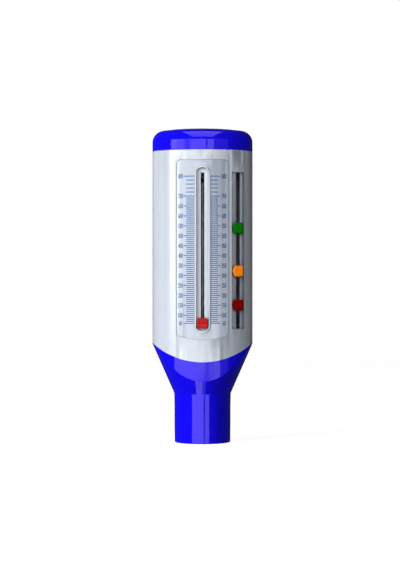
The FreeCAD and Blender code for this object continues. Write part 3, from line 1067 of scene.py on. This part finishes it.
@dataclass(frozen=True)
class Track:
    """The pointer's track in the casing: a round-ended groove with a raised rim, in millimetres."""

    low: float = 58.6
    top: float = 133.1
    inner_r: float = 3.05
    outer_r: float = 3.8
    rim_y: tuple[float, float] = (-17.3, -16.7)
    floor_y: tuple[float, float] = (-15.25, -15.15)
    bead: float = 0.32
    cove: float = 0.37
    near: float = 0.04

    def ring(self, radius: float, span: tuple[float, float]) -> Callable[[Vector], bool]:
        """A test for the points that lie on one ring of the groove.

        Args:
            radius: The ring's distance from the groove's middle line.
            span: The ring's front and back.

        Returns:
            The test.
        """
        def lies_on(point: Vector) -> bool:
            """Whether a point lies on the ring, within its span."""
            middle = min(max(point.z, self.low), self.top)
            off = math.hypot(point.x, point.z - middle)
            return abs(off - radius) < self.near and span[0] < point.y < span[1]
        return lies_on

    def round(self, work: Workpiece) -> None:
        """Makes the rim a bead and rounds the groove's foot.

        Args:
            work: The casing.
        """
        work.round_edges(self.ring(self.inner_r, self.rim_y), self.bead)
        work.round_edges(self.ring(self.outer_r, self.rim_y), self.bead)
        work.round_edges(self.ring(self.inner_r, self.floor_y), self.cove)


@dataclass(frozen=True)
class Softened:
    """A visible moulding: the solid of one node with its edges rounded as a mould leaves them."""

    name: str
    node: str
    finish: Finish
    body: Body
    slot: str
    edge: float
    crisp_deg: float = 35.0
    track: Track | None = None

    def build(self) -> bpy.types.Object:
        """Models the moulding, which stands for its plainer solid.

        Returns:
            The moulding's object.
        """
        work = Workpiece.from_node(self.name, self.node)
        if self.track:
            self.track.round(work)
        work.soften(self.edge)
        work.shade(self.crisp_deg)
        work.modify("WEIGHTED_NORMAL", mode="FACE_AREA", keep_sharp=True)
        moulding = work.finish(self.finish.material(), self.body, self.slot)
        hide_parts(self.node)
        return moulding


@dataclass
class Front:
    """What the front shows: the casing, the scale plate, the pointer and the three zone markers."""

    casing: Softened = Softened(
        "casing_shell", "main_casing", Finish.CASING, Body.HOUSING, "white_plastic", 0.13,
        track=Track())
    plate: Softened = Softened(
        "scale_sheet", "scale_plate", Finish.SHEET, Body.HOUSING, "scale_sheet", 0.12)
    moving: tuple[Softened, ...] = tuple(
        Softened(name, node, finish, body, slot, edge) for name, node, finish, body, slot, edge in (
            ("pointer_head", "pointer", Finish.RED, Body.POINTER, "red_plastic", 0.18),
            ("zone_marker_green", "green_marker", Finish.GREEN, Body.GREEN, "green_plastic", 0.2),
            ("zone_marker_amber", "amber_marker", Finish.AMBER, Body.AMBER, "amber_plastic", 0.2),
            ("zone_marker_red", "red_marker", Finish.DARK_RED, Body.RED, "dark_red_plastic", 0.2),
        ))

    def build(self) -> bpy.types.Object:
        """Models the front.

        Returns:
            The scale plate's object.
        """
        self.casing.build()
        for piece in self.moving:
            piece.build()
        return self.plate.build()


@dataclass
class Mouldings:
    """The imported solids, which get a finish each and have their round faces smoothed."""

    finishes: tuple[tuple[Finish, tuple[str, ...]], ...] = (
        (Finish.CASING, ("main_casing",)),
        (Finish.SHEET, ("scale_plate",)),
        (Finish.INNER, ("flow_tube", "rod_spider", "rod_top_plate", "spring_collar")),
        (Finish.STEEL, ("guide_rod", "return_spring")),
        (Finish.RUBBER, ("rest_washer", "top_buffer")),
        (Finish.PISTON, ("piston",)),
        (Finish.BUSH, ("piston_bush", "pointer_slider", "green_clip", "amber_clip", "red_clip")),
        (Finish.RED, ("pointer",)),
        (Finish.GREEN, ("green_marker",)),
        (Finish.AMBER, ("amber_marker",)),
        (Finish.DARK_RED, ("red_marker",)),
        (Finish.BLUE, ("top_cap", "mouthpiece_funnel")),
    )
    crisp_deg: float = 22.0

    def dress(self, name: str, finish: Finish) -> None:
        """Dresses one node.

        Args:
            name: The node.
            finish: Its finish.
        """
        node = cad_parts[name]
        node.data.materials.clear()
        node.data.materials.append(finish.material())
        for face in node.data.polygons:
            face.use_smooth = True
        weld = node.modifiers.new("weld", "WELD")
        weld.merge_threshold = WELD_MM * MM
        split = node.modifiers.new("crisp_edges", "EDGE_SPLIT")
        split.split_angle = math.radians(self.crisp_deg)
        log.info("%s: %s", name, finish.name.lower())

    def build(self) -> None:
        """Dresses every node that came with the frame."""
        for finish, names in self.finishes:
            for name in names:
                self.dress(name, finish)


# Studio


@dataclass(frozen=True)
class SoftBox:
    """A rectangular studio light that faces the meter."""

    name: str
    azimuth: tuple[float, float]
    elevation: tuple[float, float]
    radiance: float
    mirrored: bool = True
    scattered: bool = True
    colour: Colour = WHITE
    distance: float = 1.4
    aim_z: float = 0.09

    def build(self) -> None:
        """Hangs the light where it covers its spans, in degrees, as seen from the meter."""
        azimuth = math.radians(sum(self.azimuth) / 2)
        elevation = math.radians(sum(self.elevation) / 2)
        half_w = math.tan(math.radians(self.azimuth[1] - self.azimuth[0]) / 2)
        half_h = math.tan(math.radians(self.elevation[1] - self.elevation[0]) / 2)
        level = math.cos(elevation)
        away = Vector((math.sin(azimuth) * level, -math.cos(azimuth) * level, math.sin(elevation)))
        light = bpy.data.lights.new(self.name, "AREA")
        light.shape = "RECTANGLE"
        light.size = 2 * half_w * self.distance * level
        light.size_y = 2 * half_h * self.distance
        light.energy = self.radiance * math.pi * light.size * light.size_y
        light.color = self.colour
        lamp = bpy.data.objects.new(self.name, light)
        lamp.location = away * self.distance + Vector((0, 0, self.aim_z))
        lamp.rotation_euler = away.to_track_quat("Z", "Y").to_euler()
        lamp.visible_camera = False
        lamp.visible_glossy = self.mirrored
        lamp.visible_diffuse = self.scattered
        bpy.context.scene.collection.objects.link(lamp)


@dataclass
class Studio:
    """The surrounding, the floor, the lights and the camera."""

    boxes: tuple[SoftBox, ...] = (
        SoftBox("key_box", (-62, -37), (-1, 31), 13.2, mirrored=False, colour=(1, 0.985, 0.96)),
        SoftBox("fill_box", (-16, 26), (4, 34), 2.1, mirrored=False, colour=(1, 0.97, 0.93)),
        *(SoftBox(name, azimuth, elevation, radiance, scattered=False)
          for name, azimuth, elevation, radiance in (
            ("cap_strip", (-60, -48), (6.3, 18), 2.9),
            ("casing_strip", (-64, -44), (-2.7, 6.2), 4.8),
            ("left_box", (-48, -32.4), (6.3, 18), 2.1),
            ("gap_card", (-32.4, -23.5), (6.3, 18), 1.0),
            ("right_glow", (21, 48), (-6, 18), 0.3),
            ("wall_card", (5, 12), (-5.7, -2.7), 1.1),
            ("left_card", (-44, -32.4), (-1, 6.2), 1.8),
            ("front_box", (-23.5, 6.5), (-1, 18), 2.0),
            ("front_strip", (9, 20.7), (-1, 18), 2.0),
            ("wall_box", (-53, 5), (-5.7, -2.7), 2.1),
            ("wall_strip", (12, 32), (-5.7, -1.2), 1.7),
            ("mouth_box", (-44.5, 6.5), (-34, -5.8), 2.0),
            ("mouth_strip", (9, 27.7), (-34, -5.8), 1.8),
            ("ceiling_box", (-48, 48), (40, 104), 1.6),
            ("floor_card", (-30, -2), (-60, -38), 2.0),
            ("floor_strip", (-2, 14), (-60, -38), 0.6),
        )),
    )
    ambient: float = 0.045
    camera_distance: float = 858.0
    eye_z: float = 77.4
    picture: tuple[int, int] = (400, 570)
    px_per_mm: float = 2.0
    axis_px: float = 202.5
    eye_px: float = 287.0
    sensor: float = 36.0
    floor_size: float = 2.0
    floor_glow: float = 0.93
    paper: tuple[float, float] = (0.38, 0.4)
    paper_grain: float = 30.0

    def world(self) -> None:
        """A white surrounding for the camera and a dim one for the light on the meter."""
        world = bpy.data.worlds.new("studio")
        bpy.context.scene.world = world
        world.use_nodes = True
        tree = world.node_tree
        path = tree.nodes.new("ShaderNodeLightPath")
        mix = tree.nodes.new("ShaderNodeMixShader")
        dim, white = tree.nodes["Background"], tree.nodes.new("ShaderNodeBackground")
        for background, strength in ((dim, self.ambient), (white, 1.0)):
            background.inputs["Color"].default_value = (*WHITE, 1)
            background.inputs["Strength"].default_value = strength
        tree.links.new(path.outputs["Is Camera Ray"], mix.inputs["Fac"])
        tree.links.new(dim.outputs[0], mix.inputs[1])
        tree.links.new(white.outputs[0], mix.inputs[2])
        tree.links.new(mix.outputs[0], tree.nodes["World Output"].inputs["Surface"])

    def floor(self) -> None:
        """A pale paper floor that glows for the camera and keeps a faint shadow."""
        rest_tools()
        bpy.ops.mesh.primitive_plane_add(size=self.floor_size)
        floor = bpy.context.object
        floor.name = "studio_floor"
        recipe = Recipe("floor_paper")
        tree = recipe.tree
        path = recipe.node("ShaderNodeLightPath")
        paper = recipe.spread(recipe.noise(self.paper_grain, detail=3.0), *self.paper)
        glow = recipe.node("ShaderNodeEmission", Color=WHITE, Strength=self.floor_glow)
        none = recipe.node("ShaderNodeEmission", Color=(0, 0, 0), Strength=0.0)
        seen = recipe.node("ShaderNodeMixShader", Fac=path.outputs["Is Camera Ray"])
        tree.links.new(none.outputs[0], seen.inputs[1])
        tree.links.new(glow.outputs[0], seen.inputs[2])
        total = tree.nodes.new("ShaderNodeAddShader")
        tree.links.new(recipe.shader.outputs[0], total.inputs[0])
        tree.links.new(seen.outputs[0], total.inputs[1])
        tree.links.new(total.outputs[0], tree.nodes["Material Output"].inputs["Surface"])
        recipe.done(Base_Color=recipe.mix(paper, (0, 0, 0), WHITE), Roughness=0.9,
                    Specular_IOR_Level=0.0)
        floor.data.materials.append(recipe.material)
        floor.visible_glossy = False
        floor.visible_shadow = False

    def camera(self) -> None:
        """The camera at the photograph's place, with its small shift."""
        width, height = self.picture
        data = bpy.data.cameras.new("camera")
        data.sensor_width = self.sensor
        data.lens = data.sensor_width * self.camera_distance / (height / self.px_per_mm)
        data.shift_x = (width / 2 - self.axis_px) / height
        data.shift_y = (self.eye_px - height / 2) / height
        camera = bpy.data.objects.new("camera", data)
        camera.location = scaled((0, -self.camera_distance, self.eye_z))
        camera.rotation_euler = (math.pi / 2, 0, 0)
        bpy.context.scene.collection.objects.link(camera)
        bpy.context.scene.camera = camera

    def build(self) -> None:
        """Sets up the studio."""
        bpy.context.scene.view_settings.view_transform = "Standard"
        self.world()
        self.floor()
        for box in self.boxes:
            box.build()
        self.camera()


def main() -> None:
    """Builds the studio and dresses the meter."""
    logging.basicConfig(level=logging.INFO, format="%(name)s: %(message)s")
    Studio().build()
    oval = measured_oval()
    top_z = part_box("top_cap")[1].z / MM
    seam_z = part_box("main_casing")[1].z / MM
    Mouldings().build()
    TopCap(oval, seam_z, top_z).build()
    Funnel(oval).build()
    Scale().build(Front().build())
    Spring().build()


if __name__ == "__main__":
    main()
